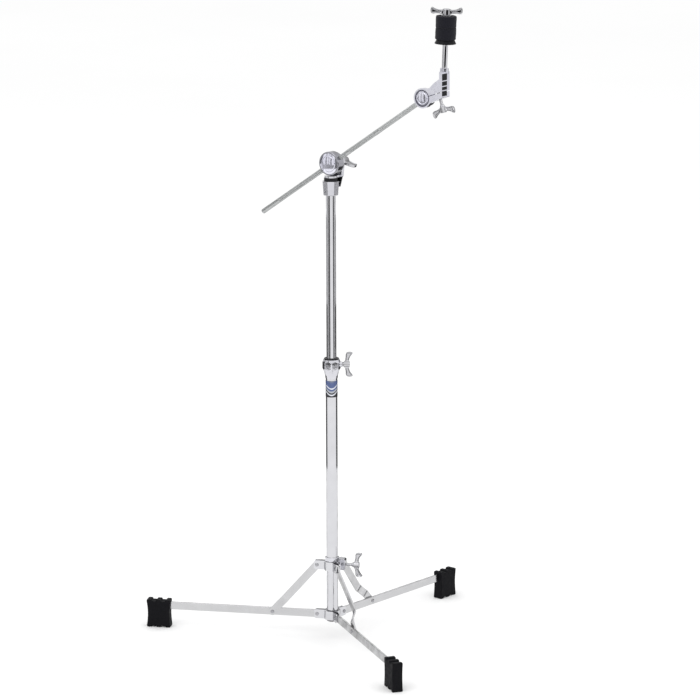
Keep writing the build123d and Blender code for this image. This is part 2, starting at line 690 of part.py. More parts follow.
def write_boom():
    write("boom_socket", boom_socket())
    write("socket_set_screw", set_screw())
    write("swivel_washer", swivel_washer())
    write("yoke", yoke())
    write("clamp_front", clamp_front())
    write("clamp_emblem", clamp_emblem())
    write("clamp_rear", clamp_rear())
    write("eye_bolt", eye_bolt())
    write("clamp_washer", clamp_washer())
    write("boom_wing_nut", boom_wing_nut())
    write("boom_arm", boom_arm())
    write("arm_end_cap", arm_end_cap())


def write_tilter():
    write("tilter_drum", tilter_drum())
    write("drum_emblem", drum_emblem())
    write("tilter_clamp", tilter_clamp())
    write("tilter_inlays", *inlay_cells(0.1))
    write("tilter_wing_screw", tilter_wing_screw())
    write("cymbal_rod", cymbal_rod())
    write("cymbal_seat", cymbal_seat())
    write("rod_sleeve", rod_sleeve())
    write("lower_felt", felt(FELT_T + 0.1))
    write("upper_felt", felt(FELT_T + FELT_HEIGHT + 0.2))
    write("top_washer", top_washer())
    write("top_wing_nut", top_wing_nut())


write_column()
write_base()
write_boom()
write_tilter()
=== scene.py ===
import json
import math

import bpy
from mathutils import Matrix, Vector, noise


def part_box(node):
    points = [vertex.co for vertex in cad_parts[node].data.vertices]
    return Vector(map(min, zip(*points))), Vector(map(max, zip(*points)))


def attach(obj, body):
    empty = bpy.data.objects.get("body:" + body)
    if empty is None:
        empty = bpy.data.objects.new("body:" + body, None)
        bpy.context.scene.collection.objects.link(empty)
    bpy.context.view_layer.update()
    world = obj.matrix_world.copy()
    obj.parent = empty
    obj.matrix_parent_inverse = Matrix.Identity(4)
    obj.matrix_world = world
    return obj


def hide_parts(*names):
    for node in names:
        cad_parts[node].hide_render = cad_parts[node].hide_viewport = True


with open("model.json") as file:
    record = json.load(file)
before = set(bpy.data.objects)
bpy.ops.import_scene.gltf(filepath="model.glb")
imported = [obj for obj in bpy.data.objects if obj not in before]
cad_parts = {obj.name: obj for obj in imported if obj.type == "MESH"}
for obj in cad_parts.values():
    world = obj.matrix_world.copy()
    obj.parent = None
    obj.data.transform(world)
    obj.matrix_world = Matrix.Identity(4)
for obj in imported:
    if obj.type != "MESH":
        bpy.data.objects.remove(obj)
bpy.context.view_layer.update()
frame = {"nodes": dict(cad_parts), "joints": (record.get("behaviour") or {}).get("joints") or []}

MM = 0.001

# ---------------------------------------------------------------- places, from the frame's joints
JOINTS = {joint["name"]: joint for joint in frame["joints"]}
UP = Vector((0, 0, 1))


def joint_pos(name):
    return Vector(JOINTS[name]["pos_m"])


def joint_axis(name):
    return Vector(JOINTS[name]["axis"]).normalized()


def place(origin, z, x):
    """A matrix with its origin there, its Z along z and its X as near to x as it can be."""
    z = z.normalized()
    x = (x - z * x.dot(z)).normalized()
    matrix = Matrix((x, z.cross(x), z)).transposed().to_4x4()
    matrix.translation = origin
    return matrix


def shifted(matrix, x=0.0, y=0.0, z=0.0):
    """The same place, moved by millimetres along its own axes."""
    return matrix @ Matrix.Translation(Vector((x, y, z)) * MM)


def turned(matrix, angle, about="Z"):
    return matrix @ Matrix.Rotation(math.radians(angle), 4, about)


COLUMN = Matrix.Identity(4)
FACE = joint_axis("boom_tilt")              # out of the boom's domed disc
HEADING = UP.cross(FACE).normalized()       # the way the boom points, level
ARM_DIR = joint_axis("boom_arm_slide")
ROD_DIR = joint_axis("upper_felt_lift")
HEAD = place(joint_pos("boom_tilt"), FACE, HEADING)
TILTER = place(joint_pos("tilter_tilt"), FACE, HEADING)
ARM_W = -6.5                                # the arm lies this far behind the column's axis
ARM = place(HEAD @ Vector((0, 0, ARM_W * MM)), ARM_DIR, FACE)
NUT_T = 154.1                               # the top nut's seat, measured up the rod
ROD = place(joint_pos("top_nut_turn") - ROD_DIR * NUT_T * MM, ROD_DIR, HEADING)
ROD = shifted(ROD, z=0.1)


# ---------------------------------------------------------------- mesh builders, in millimetres
def arc(cx, cy, r, start, end, steps):
    """Points on an arc, angles in degrees."""
    points = []
    for i in range(steps + 1):
        a = math.radians(start + (end - start) * i / steps)
        points.append((cx + r * math.cos(a), cy + r * math.sin(a)))
    return points


def soften(points, radius, closed=True, steps=3):
    """A polyline with its corners rounded."""
    out = []
    count = len(points)
    for i, corner in enumerate(points):
        if not closed and i in (0, count - 1):
            out.append(corner)
            continue
        c = Vector(corner)
        before = Vector(points[i - 1]) - c
        after = Vector(points[(i + 1) % count]) - c
        reach = min(radius, 0.45 * before.length, 0.45 * after.length)
        a, b = c + before.normalized() * reach, c + after.normalized() * reach
        for step in range(steps + 1):
            t = step / steps
            p = a * (1 - t) ** 2 + c * 2 * t * (1 - t) + b * t * t
            out.append((p.x, p.y))
    return out


def lathe(profile, segments=96, closed=False):
    """A solid turned about Z from (radius, z) points. A closed profile makes a ring."""
    verts, rings = [], []
    for r, z in profile:
        if r < 1e-6:
            rings.append([len(verts)])
            verts.append((0.0, 0.0, z))
            continue
        rings.append(list(range(len(verts), len(verts) + segments)))
        for i in range(segments):
            a = 2 * math.pi * i / segments
            verts.append((r * math.cos(a), r * math.sin(a), z))
    faces = []
    pairs = list(zip(rings, rings[1:]))
    if closed:
        pairs.append((rings[-1], rings[0]))
    for low, high in pairs:
        for i in range(segments):
            j = (i + 1) % segments
            if len(low) == 1 and len(high) == 1:
                break
            if len(low) == 1:
                faces.append((low[0], high[j], high[i]))
            elif len(high) == 1:
                faces.append((low[i], low[j], high[0]))
            else:
                faces.append((low[i], low[j], high[j], high[i]))
    return verts, faces


def rod(radius, low, high, edge=0.4, segments=48):
    """A plain round bar with rounded ends."""
    ends = soften([(0, low), (radius, low), (radius, low + 3 * edge)], edge, closed=False)[:-1]
    tops = [(r, low + high - z) for r, z in reversed(ends)]
    return lathe(ends + tops, segments)


def ring(outer, inner, low, high, edge=0.4, segments=96):
    corners = [(inner, low), (outer, low), (outer, high), (inner, high)]
    return lathe(soften(corners, edge), segments, closed=True)


def thread(radius, low, high, pitch=1.0, depth=0.45, segments=28):
    """A bar with a helical thread."""
    verts, faces = [(0, 0, low)], []
    per_turn = 6
    rows = int((high - low) / pitch * per_turn)
    for row in range(rows + 1):
        z = low + (high - low) * row / rows
        for i in range(segments):
            phase = (row / per_turn - i / segments) % 1.0
            r = radius - depth * (1 - abs(2 * phase - 1))
            a = 2 * math.pi * i / segments
            verts.append((r * math.cos(a), r * math.sin(a), z))
    for row in range(rows):
        for i in range(segments):
            j = (i + 1) % segments
            a, b = 1 + row * segments, 1 + (row + 1) * segments
            faces.append((a + i, a + j, b + j, b + i))
    verts.append((0, 0, high))
    last = 1 + rows * segments
    for i in range(segments):
        j = (i + 1) % segments
        faces.append((0, 1 + j, 1 + i))
        faces.append((last + i, last + j, len(verts) - 1))
    return verts, faces


def prism(points, low, high):
    """A flat outline made solid along Z."""
    count = len(points)
    verts = [(x, y, low) for x, y in points] + [(x, y, high) for x, y in points]
    faces = [tuple(reversed(range(count))), tuple(range(count, 2 * count))]
    for i in range(count):
        j = (i + 1) % count
        faces.append((i, j, count + j, count + i))
    return verts, faces


def moved(part, matrix):
    """The part with its points moved by a matrix in millimetres."""
    verts, faces = part
    return [tuple(matrix @ Vector(v)) for v in verts], faces


def shift(part, x=0.0, y=0.0, z=0.0):
    return moved(part, Matrix.Translation((x, y, z)))


def spin(part, angle, about="Z"):
    return moved(part, Matrix.Rotation(math.radians(angle), 4, about))


def smoothstep(t):
    t = min(1.0, max(0.0, t))
    return t * t * (3 - 2 * t)


# ---------------------------------------------------------------- objects
def piece(name, parts, where, body, material, replaced, bevel=0.0, angle=40.0, remesh=0.0):
    """One named object from mesh parts in millimetres, riding on a body."""
    verts, faces = [], []
    for part_verts, part_faces in parts:
        start = len(verts)
        verts.extend(part_verts)
        faces.extend([tuple(start + i for i in face) for face in part_faces])
    mesh = bpy.data.meshes.new(name)
    mesh.from_pydata([where @ (Vector(v) * MM) for v in verts], [], faces)
    mesh.validate()
    mesh.update()
    obj = bpy.data.objects.new(name, mesh)
    bpy.context.scene.collection.objects.link(obj)
    for polygon in mesh.polygons:
        polygon.use_smooth = True
    if remesh:
        cast = obj.modifiers.new("cast", "REMESH")
        cast.mode = "VOXEL"
        cast.voxel_size = remesh * MM
        cast.use_smooth_shade = True
        relax = obj.modifiers.new("relax", "SMOOTH")
        relax.factor = 0.5
        relax.iterations = 4
    elif bevel:
        edges = obj.modifiers.new("edges", "BEVEL")
        edges.width = bevel * MM
        edges.segments = 3
        edges.limit_method = "ANGLE"
        edges.angle_limit = math.radians(angle)
        edges.harden_normals = True
    else:
        mesh.set_sharp_from_angle(angle=math.radians(angle))
    mesh.materials.append(material)
    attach(obj, body)
    if replaced:
        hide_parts(*replaced)


# ---------------------------------------------------------------- materials
class Nodes:
    """A small helper that adds nodes and links to one material."""

    def __init__(self, name):
        self.material = bpy.data.materials.new(name)
        self.material.use_nodes = True
        self.tree = self.material.node_tree
        self.shader = self.tree.nodes["Principled BSDF"]
        self.coords = self.add("ShaderNodeTexCoord").outputs["Object"]

    def add(self, kind, **settings):
        node = self.tree.nodes.new(kind)
        for key, value in settings.items():
            setattr(node, key, value)
        return node

    def link(self, source, target):
        self.tree.links.new(source, target)

    def noise(self, scale, detail=4.0, stretch=None):
        node = self.add("ShaderNodeTexNoise")
        node.inputs["Scale"].default_value = scale
        node.inputs["Detail"].default_value = detail
        node.inputs["Roughness"].default_value = 0.55
        vector = self.coords
        if stretch:
            mapping = self.add("ShaderNodeMapping")
            mapping.inputs["Scale"].default_value = stretch
            self.link(self.coords, mapping.inputs["Vector"])
            vector = mapping.outputs["Vector"]
        self.link(vector, node.inputs["Vector"])
        return node.outputs["Fac"]

    def spread(self, value, low, high, start=0.3, end=0.7):
        """Maps a texture value to a range."""
        node = self.add("ShaderNodeMapRange")
        node.inputs["From Min"].default_value = start
        node.inputs["From Max"].default_value = end
        node.inputs["To Min"].default_value = low
        node.inputs["To Max"].default_value = high
        self.link(value, node.inputs["Value"])
        return node.outputs["Result"]

    def ramp(self, value, stops):
        node = self.add("ShaderNodeValToRGB")
        elements = node.color_ramp.elements
        while len(elements) < len(stops):
            elements.new(0.5)
        for element, (position, colour) in zip(elements, stops):
            element.position = position
            element.color = (*colour, 1.0)
        self.link(value, node.inputs["Fac"])
        return node.outputs["Color"]

    def bump(self, value, strength, distance_mm):
        node = self.add("ShaderNodeBump")
        node.inputs["Strength"].default_value = strength
        node.inputs["Distance"].default_value = distance_mm * MM
        self.link(value, node.inputs["Height"])
        self.link(node.outputs["Normal"], self.shader.inputs["Normal"])

    def bump_under(self, value, strength, distance_mm):
        """A wider, shallower bump under the one already there."""
        upper = self.shader.inputs["Normal"].links[0].from_node
        node = self.add("ShaderNodeBump")
        node.inputs["Strength"].default_value = strength
        node.inputs["Distance"].default_value = distance_mm * MM
        self.link(value, node.inputs["Height"])
        self.link(node.outputs["Normal"], upper.inputs["Normal"])

    def set(self, **values):
        names = {"metallic": "Metallic", "roughness": "Roughness", "coat": "Coat Weight",
                 "coat_roughness": "Coat Roughness", "sheen": "Sheen Weight",
                 "sheen_roughness": "Sheen Roughness", "specular": "Specular IOR Level"}
        for key, value in values.items():
            self.shader.inputs[names[key]].default_value = value


def metal(
    name, dark, light, rough_low, rough_high, grain=None, wave=0.05, edge=0.3, start=0.42, end=0.72, dents=0.0
):
    """Plated or bare metal: faint tone changes, painted shade on the edges that turn away from view, uneven
    gloss and a slightly wavy skin.

    edge is the share of the dark tone left in that painted shade where the surface turns away, which it does
    from start to end.
    """
    m = Nodes(name)
    m.set(metallic=1.0)
    tone = m.ramp(m.noise(35.0), [(0.3, dark), (0.7, light)])
    # painted shade: the colour darkens towards the rim colour where the surface turns away from view
    facing = m.add("ShaderNodeLayerWeight").outputs["Facing"]
    rim = tuple(edge * value for value in dark)
    painted_edge_shade = m.add("ShaderNodeMix", data_type="RGBA")
    m.link(m.spread(facing, 0.0, 1.0, start, end), painted_edge_shade.inputs["Factor"])
    m.link(tone, painted_edge_shade.inputs["A"])
    m.link(m.ramp(m.noise(60.0), [(0.3, rim), (0.7, dark)]), painted_edge_shade.inputs["B"])
    m.link(painted_edge_shade.outputs["Result"], m.shader.inputs["Base Color"])
    wear = m.noise(160.0, 6.0, stretch=grain)
    m.link(m.spread(wear, rough_low, rough_high), m.shader.inputs["Roughness"])
    m.bump(m.noise(420.0, 3.0, stretch=grain), wave, 0.02)
    if dents:
        m.bump_under(m.noise(70.0, 2.0), 1.0, dents)
    return m


def plain(name, dark, light, rough_low, rough_high, scale, bump, depth, **values):
    """Rubber, plastic or felt, with a fine grain."""
    m = Nodes(name)
    m.set(metallic=0.0, **values)
    grain = m.noise(scale, 8.0)
    m.link(m.ramp(grain, [(0.3, dark), (0.7, light)]), m.shader.inputs["Base Color"])
    m.link(m.spread(m.noise(scale * 0.3), rough_low, rough_high), m.shader.inputs["Roughness"])
    m.bump(grain, bump, depth)
    return m.material


CHROME = metal("chrome", (0.61, 0.61, 0.635), (0.66, 0.66, 0.685), 0.03, 0.075).material
CAST_CHROME = metal(
    "cast_chrome", (0.57, 0.57, 0.61), (0.66, 0.66, 0.70), 0.05, 0.13, wave=0.12, edge=0.22, dents=0.05
).material
TILTER_CHROME = metal(
    "tilter_chrome", (0.60, 0.60, 0.67), (0.70, 0.70, 0.76), 0.05, 0.13, wave=0.12, edge=0.7, dents=0.06
).material
# painted shade: a darker tone and broad painted edge shade stand in for the shading along the wings
WING_CHROME = metal(
    "wing_chrome", (0.44, 0.44, 0.46), (0.60, 0.60, 0.62), 0.06, 0.14,
    wave=0.1, edge=0.08, start=0.12, end=0.5,
).material
# painted shade: the edge shade gives the dark ring round each head
RIVET_CHROME = metal(
    "rivet_chrome", (0.34, 0.34, 0.36), (0.48, 0.48, 0.50), 0.10, 0.20, edge=0.2, start=0.25, end=0.6
).material
BAR_CHROME = metal(
    "bar_chrome", (0.54, 0.54, 0.55), (0.59, 0.59, 0.60), 0.10, 0.20, grain=(1, 1, 0.2)
).material
KNURL = metal("knurled_chrome", (0.40, 0.41, 0.41), (0.48, 0.49, 0.49), 0.16, 0.28).material
STEEL = metal("plated_steel", (0.40, 0.40, 0.42), (0.52, 0.52, 0.54), 0.18, 0.34, edge=0.2).material
# painted shade: a tone far darker than plated metal, for the dark ring on the boom clamp's front
RING_CHROME_PAINTED_SHADE = metal("ring_chrome_painted_shade", (0.26, 0.26, 0.29), (0.38, 0.38, 0.41), 0.06, 0.14, edge=0.2).material
# painted shade: near black, for the dark ring of the tilter's drum round its emblem
GROOVE_CHROME_PAINTED_SHADE = metal("groove_chrome_painted_shade", (0.09, 0.09, 0.12), (0.16, 0.16, 0.20), 0.06, 0.14, edge=0.2).material
DISC = metal(
    "polished_disc", (0.66, 0.66, 0.76), (0.78, 0.78, 0.86), 0.06, 0.16, wave=0.3, edge=0.2, dents=0.12
).material
NYLON = plain(
    "black_nylon", (0.012, 0.012, 0.014), (0.022, 0.022, 0.025), 0.35, 0.55, 300.0, 0.1, 0.05,
    specular=0.15,
)
BLACK = plain(
    "black_plastic", (0.004, 0.004, 0.005), (0.009, 0.009, 0.011), 0.3, 0.45, 300.0, 0.05, 0.05,
    specular=0.12,
)
RUBBER = plain(
    "black_rubber", (0.0035, 0.0035, 0.0045), (0.007, 0.007, 0.009), 0.55, 0.8, 500.0, 0.35, 0.12,
    specular=0.1,
)
FELT = plain(
    "black_felt", (0.005, 0.005, 0.008), (0.015, 0.015, 0.021), 0.85, 1.0, 900.0, 0.7, 0.35,
    sheen=0.08, sheen_roughness=0.6, specular=0.06,
)


BADGE_ARC = 0.26                            # how far the arcs rise at the sides, in badge heights


def badge_material(low, high, radius):
    """An enamel plate: blue above, with pale arcs and a dark border below that curve up at the sides."""
    m = Nodes("badge_enamel")
    m.set(metallic=0.35, coat=0.5, coat_roughness=0.05)
    split = m.add("ShaderNodeSeparateXYZ")
    m.link(m.coords, split.inputs["Vector"])
    height = m.add("ShaderNodeMapRange")
    height.inputs["From Min"].default_value = low
    height.inputs["From Max"].default_value = high
    m.link(split.outputs["Z"], height.inputs["Value"])
    across = m.add("ShaderNodeMath", operation="MULTIPLY")
    m.link(split.outputs["X"], across.inputs[0])
    m.link(split.outputs["X"], across.inputs[1])
    bend = m.add("ShaderNodeMapRange")
    bend.inputs["From Max"].default_value = radius ** 2
    bend.inputs["To Max"].default_value = BADGE_ARC
    m.link(across.outputs["Value"], bend.inputs["Value"])
    bent = m.add("ShaderNodeMath", operation="SUBTRACT")
    m.link(height.outputs["Result"], bent.inputs[0])
    m.link(bend.outputs["Result"], bent.inputs[1])
    blue, pale, dark = (0.075, 0.11, 0.26), (0.72, 0.74, 0.80), (0.015, 0.015, 0.02)
    silver, steel = (0.42, 0.44, 0.48), (0.20, 0.22, 0.27)
    stops = [
        (0.0, dark), (0.08, dark), (0.09, pale), (0.16, pale), (0.17, dark), (0.25, dark), (0.26, silver),
        (0.36, silver), (0.37, blue), (0.47, blue), (0.48, pale), (0.55, pale), (0.56, blue), (0.84, blue),
        (1.0, steel),
    ]
    m.link(m.ramp(bent.outputs["Value"], stops), m.shader.inputs["Base Color"])
    m.link(m.spread(m.noise(300.0), 0.2, 0.35), m.shader.inputs["Roughness"])
    return m.material


def collar_material(slot_z, slot_half, facet_r):
    """Cast chrome with painted shade: black below the facets at the slots' height, which is in the slots'
    floors.
    """
    m = metal(
        "collar_chrome", (0.60, 0.60, 0.64), (0.68, 0.68, 0.72), 0.05, 0.12, wave=0.12, edge=0.15, dents=0.10
    )
    split = m.add("ShaderNodeSeparateXYZ")
    m.link(m.coords, split.inputs["Vector"])
    level = m.add("ShaderNodeMath", operation="COMPARE")
    m.link(split.outputs["Z"], level.inputs[0])
    level.inputs[1].default_value = slot_z
    level.inputs[2].default_value = slot_half
    flat = m.add("ShaderNodeCombineXYZ")
    m.link(split.outputs["X"], flat.inputs["X"])
    m.link(split.outputs["Y"], flat.inputs["Y"])
    reach = m.add("ShaderNodeVectorMath", operation="LENGTH")
    m.link(flat.outputs["Vector"], reach.inputs[0])
    inner = m.add("ShaderNodeMath", operation="LESS_THAN")
    m.link(reach.outputs["Value"], inner.inputs[0])
    inner.inputs[1].default_value = facet_r
    slot_shade_mask = m.add("ShaderNodeMath", operation="MULTIPLY")
    m.link(level.outputs["Value"], slot_shade_mask.inputs[0])
    m.link(inner.outputs["Value"], slot_shade_mask.inputs[1])
    # painted shade: black in the slots' floors, inside the facet radius at the slots' height
    slot_shade_paint = m.add("ShaderNodeMix", data_type="RGBA")
    m.link(slot_shade_mask.outputs["Value"], slot_shade_paint.inputs["Factor"])
    m.link(m.shader.inputs["Base Color"].links[0].from_socket, slot_shade_paint.inputs["A"])
    slot_shade_black = m.ramp(m.noise(90.0), [(0.3, (0.004, 0.004, 0.005)), (0.7, (0.010, 0.010, 0.012))])
    m.link(slot_shade_black, slot_shade_paint.inputs["B"])
    m.link(slot_shade_paint.outputs["Result"], m.shader.inputs["Base Color"])
    return m.material


# ---------------------------------------------------------------- CAD nodes that stay
COLLAR_SLOT_Z = JOINTS["height_screw_turn"]["pos_m"][2] + 4.0 * MM
COLLAR_SLOT_HALF = 0.95 * MM
COLLAR_FACET_R = 16.48 * MM                 # the facets lie outside this radius
COLLAR_CHROME = collar_material(COLLAR_SLOT_Z, COLLAR_SLOT_HALF, COLLAR_FACET_R)
STAYS = {
    "tube_plug": NYLON, "height_collar": COLLAR_CHROME, "guide_plug": NYLON, "hub_core": STEEL,
    "slider_casting": CAST_CHROME, "boom_socket": CAST_CHROME, "socket_set_screw": STEEL,
    "yoke": CAST_CHROME, "clamp_front": RING_CHROME_PAINTED_SHADE, "clamp_rear": STEEL, "eye_bolt": STEEL,
    "tilter_drum": GROOVE_CHROME_PAINTED_SHADE, "tilter_clamp": TILTER_CHROME, "tilter_inlays": BLACK, "rod_sleeve": NYLON,
    "height_bushing": NYLON, "lower_tube": CHROME, "upper_tube": CHROME,
}
for number in (1, 2, 3):
    STAYS[f"hub_bracket_{number}"] = CHROME
    STAYS[f"slider_bracket_{number}"] = CHROME
for node, material in STAYS.items():
    for slot in frame["nodes"][node].material_slots:
        slot.link = "OBJECT"
        slot.material = material


# ---------------------------------------------------------------- wing nuts
def paddle(root, tip, hub_length, height, flare, thickness, columns=26, rows=16):
    """One wing along +X: a flared slab with a raised rim and a dished middle."""
    verts, faces = [], []
    length = tip - root
    for side in (-1, 1):
        for i in range(columns + 1):
            u = i / columns
            x = root + length * u
            low = 1.0 + (flare - 1.0) * u ** 1.5
            high = hub_length - 1.0 + (flare + height - hub_length + 1.0) * u ** 1.4
            waist = 0.12 * height * math.sin(math.pi * min(1.0, u * 1.2))
            low, high = low + waist, high - waist
            for j in range(rows + 1):
                v = j / rows
                round_off = 1.0 - abs(2 * v - 1) ** 4
                tuck = (1 - round_off) * 1.6 * smoothstep((u - 0.6) / 0.4)
                reach = x - tuck + 0.7 * math.sin(math.pi * v) * u ** 4
                rim = min(v, 1 - v) * (high - low)
                end = (1 - u) * length
                inside = smoothstep((min(rim, end) - 1.1) / 1.3) * smoothstep((u - 0.12) / 0.2)
                half = thickness / 2 - inside * 1.5
                edge = min(1.0, min(rim, end) / 0.9)
                half *= 0.55 + 0.45 * math.sqrt(1 - (1 - edge) ** 2)
                verts.append((reach, side * half, low + (high - low) * v))
    sheet = (columns + 1) * (rows + 1)

    def at(i, j, side):
        return side * sheet + i * (rows + 1) + j

    for i in range(columns):
        for j in range(rows):
            faces.append((at(i, j, 0), at(i + 1, j, 0), at(i + 1, j + 1, 0), at(i, j + 1, 0)))
            faces.append((at(i, j, 1), at(i, j + 1, 1), at(i + 1, j + 1, 1), at(i + 1, j, 1)))
    for i in range(columns):
        faces.append((at(i, 0, 1), at(i + 1, 0, 1), at(i + 1, 0, 0), at(i, 0, 0)))
        faces.append((at(i, rows, 0), at(i + 1, rows, 0), at(i + 1, rows, 1), at(i, rows, 1)))
    for j in range(rows):
        faces.append((at(0, j, 0), at(0, j + 1, 0), at(0, j + 1, 1), at(0, j, 1)))
        faces.append((at(columns, j, 1), at(columns, j + 1, 1), at(columns, j + 1, 0), at(columns, j, 0)))
    return verts, faces


def wing_body(span=47.0, height=12.5, flare=5.0, hub_r=5.2, hub_length=12.0, thickness=6.4, bore=0.0):
    """Two wings on a round hub. A bore makes it a nut, and without one the hub is solid."""
    wing = paddle(hub_r - 1.8, span / 2, hub_length, height, flare, thickness)
    if bore:
        hub = ring(hub_r, bore, 0, hub_length, 0.8, 64)
    else:
        profile = soften([(0, 0), (hub_r, 0), (hub_r, hub_length), (0, hub_length)], 1.2, closed=False)
        hub = lathe(profile, 64)
    return [wing, spin(wing, 180), hub]


def wing_screw(name, where, body, shaft):
    """A wing screw: the cast wings, a shoulder and the threaded shaft."""
    screw = [rod(4.2, -2.5, 0.5, 0.5), thread(3.0, -shaft, 1.0)]
    piece(name, wing_body() + screw, where, body, WING_CHROME, [name], remesh=0.32)


BASE_SCREW = place(joint_pos("base_screw_turn"), joint_axis("base_screw_turn"), UP)
wing_screw("base_wing_screw", BASE_SCREW, "base_wing_screw", 30.0)
HEIGHT_SCREW = place(joint_pos("height_screw_turn"), joint_axis("height_screw_turn"), UP)
wing_screw("height_wing_screw", HEIGHT_SCREW, "height_wing_screw", 9.8)
SLIT = Matrix.Rotation(math.radians(19.0), 4, "Z")
SLIT_DIR = TILTER @ SLIT @ Vector((1, 0, 0)) - TILTER.translation
TILTER_SCREW = place(joint_pos("tilter_screw_turn"), joint_axis("tilter_screw_turn"), SLIT_DIR)
wing_screw("tilter_wing_screw", TILTER_SCREW, "tilter_wing_screw", 32.0)

NUT_BORE = 4.05
BOOM_NUT_W = -26.5                          # the boom nut's seat, measured out of the disc
BOOM_NUT = turned(turned(shifted(HEAD, z=BOOM_NUT_W), 180, "X"), 18)
piece(
    "boom_wing_nut", wing_body(span=55.0, hub_r=7.0, hub_length=24.0, height=12.0, flare=11.0, bore=NUT_BORE),
    BOOM_NUT, "boom_wing_nut", WING_CHROME, ["boom_wing_nut"], remesh=0.35,
)
TOP_NUT = turned(shifted(ROD, z=NUT_T), 36)
piece(
    "top_wing_nut",
    wing_body(span=57.0, height=11.9, flare=2.2, hub_r=7.2, hub_length=11.0, thickness=7.5, bore=NUT_BORE),
    TOP_NUT, "top_wing_nut", WING_CHROME, ["top_wing_nut"], remesh=0.35,
)


# ---------------------------------------------------------------- tripod
PIVOT_R = 29.5                              # legs and braces both turn at this radius
RIVET_PLACE_R = 118.0                       # where a brace is riveted to its leg
LEG_END_R = 356.0
BAR = 15.0                                  # width of a leg and of a brace
LEG_HALF = 2.2
BRACE_HALF = 1.5
BRACE_SIDE = 4.0                            # how far beside its leg a brace starts
BRACE_BOW = 13.5                            # and how far out its joggle takes it
JOGGLE_START, JOGGLE_END = 18.0, 42.0
BOW_STOP = 9.0                              # the bow ends this far short of the slider
RIVET_R = 2.4
RIVET_HEAD = [(3.6, 0.0), (3.5, 0.7), (2.7, 1.3), (1.4, 1.5), (0, 1.5)]
PIVOT_HALF = 4.5
FOOT_INNER_R, FOOT_OUTER_R = 322.0, 369.0
FOOT_HALF = 10.0
RIDGE_DEPTH, RIDGE_LENGTH = 3.0, 9.5


def radial(azimuth):
    """A place at the column's foot with X outwards along that azimuth, Y sideways and Z up."""
    return Matrix.Rotation(azimuth, 4, "Z")


def on_edge(part):
    """Turns a part drawn flat in XY to stand in XZ."""
    return spin(part, 90, "X")


def rivet_part(low, high, heads):
    """A rivet along Y, with domed heads on the sides named in heads."""
    profile = [(0, low), (RIVET_R, low), (RIVET_R, high), (0, high)]
    for side in heads:
        face = high if side > 0 else low
        head = [(r, face + side * rise) for r, rise in RIVET_HEAD]
        if side > 0:
            profile = profile[:-2] + [(RIVET_R, high)] + head
        else:
            profile = list(reversed(head)) + [(RIVET_R, low)] + profile[2:]
    return spin(lathe(profile, 40), -90, "X")


def bar_leg(low_r, high_r, height):
    end = arc(low_r, height, BAR / 2, 90, 270, 16)
    outline = end + [(high_r, height - BAR / 2), (high_r, height + BAR / 2)]
    return on_edge(prism(outline, -LEG_HALF, LEG_HALF))


def brace_part(length):
    """A strip with a bowed run and a joggle. X runs from the leg's rivet to the slider."""
    def side(x):
        if x < JOGGLE_START:
            return BRACE_SIDE
        if x < JOGGLE_END:
            rise = smoothstep((x - JOGGLE_START) / (JOGGLE_END - JOGGLE_START))
            return BRACE_SIDE + (BRACE_BOW - BRACE_SIDE) * rise
        return BRACE_BOW * max(0.0, 1 - (x - JOGGLE_END) / (length - JOGGLE_END - BOW_STOP))

    stations = [-BAR / 2 + BAR / 2 * (1 - math.cos(math.pi / 2 * i / 8)) for i in range(8)]
    stations += [length * i / 60 for i in range(61)]
    stations += [length + BAR / 2 * math.sin(math.pi / 2 * i / 8) for i in range(1, 9)]
    verts, faces = [], []
    for x in stations:
        over = max(-x, x - length, 0.0)
        half = max(0.05, math.sqrt(max(0.0, (BAR / 2) ** 2 - over ** 2)))
        inner, outer = side(x) - BRACE_HALF, side(x) + BRACE_HALF
        verts += [(x, inner, -half), (x, inner, half), (x, outer, half), (x, outer, -half)]
    for i in range(len(stations) - 1):
        for k in range(4):
            a, b = 4 * i + k, 4 * i + (k + 1) % 4
            faces.append((a, b, b + 4, a + 4))
    faces.append((3, 2, 1, 0))
    last = 4 * (len(stations) - 1)
    faces.append((last, last + 1, last + 2, last + 3))
    return verts, faces


def ridge(x, root, tip, back=False):
    """The outline of one ridge that starts at x, drawn outwards, or back for the way home."""
    end = x + RIDGE_LENGTH
    corners = [(x - 0.01, root), (x + 0.5, tip), (end - 0.5, tip), (end + 0.01, root)]
    if back:
        corners.reverse()
    return soften(corners, 1.4, closed=False)


def foot_parts(low, high, inner, outer):
    """A rubber foot drawn in XZ: concave ends and three ridges above and below."""
    pitch = (outer - inner - RIDGE_LENGTH) / 2
    bottom, top = low + RIDGE_DEPTH, high - RIDGE_DEPTH
    points = []
    for index in range(3):
        points += ridge(inner + index * pitch, bottom, low)
    for step in range(1, 12):
        t = step / 12
        points.append((outer - 2.2 * math.sin(math.pi * t), bottom + (top - bottom) * t))
    for index in (2, 1, 0):
        points += ridge(inner + index * pitch, top, high, back=True)
    for step in range(1, 12):
        t = step / 12
        points.append((inner + 1.6 * math.sin(math.pi * t), top - (top - bottom) * t))
    return [on_edge(prism(points, -FOOT_HALF, FOOT_HALF))]


